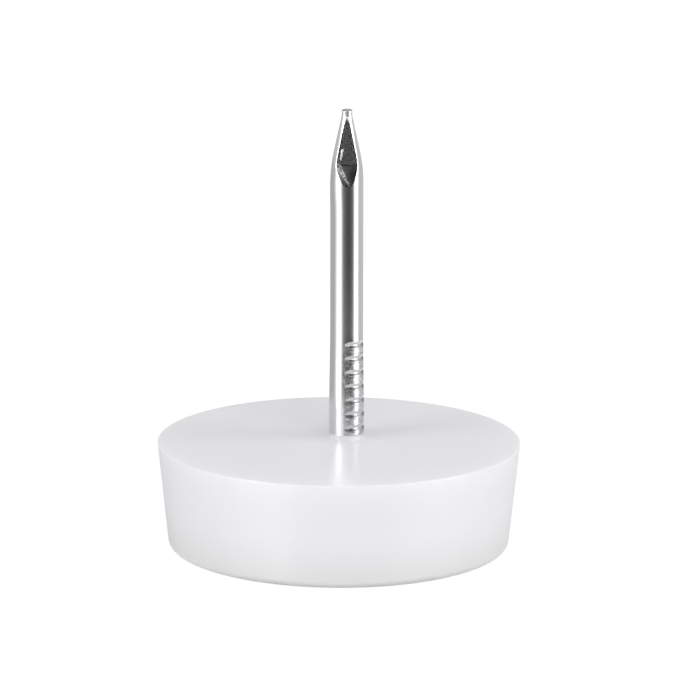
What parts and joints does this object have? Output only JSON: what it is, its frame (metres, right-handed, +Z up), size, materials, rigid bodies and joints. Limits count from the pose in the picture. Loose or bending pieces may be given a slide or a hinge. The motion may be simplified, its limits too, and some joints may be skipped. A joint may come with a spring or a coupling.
{
  "type": "nail-on furniture glide",
  "caption": "Round moulded plastic glide pad with a steel wire nail standing out of its top face, to be driven into the end of a furniture leg.",
  "frame": {"origin": "centre of the glide face, on the floor that the glide rests on", "axes": "+Z up, square to the glide face and along the nail towards its point; -Y towards the viewer of the picture, +X to the right"},
  "size_m": [0.022, 0.022, 0.0268],
  "materials": {
    "pad_plastic": "milky translucent white moulded polyethylene with a soft gloss",
    "nail_steel": "bright drawn steel wire, smooth on the shank and darker on the cut point"
  },
  "bodies": {
    "root": {"glide_pad": "pad_plastic", "nail": "nail_steel"}
  },
  "joints": []
}
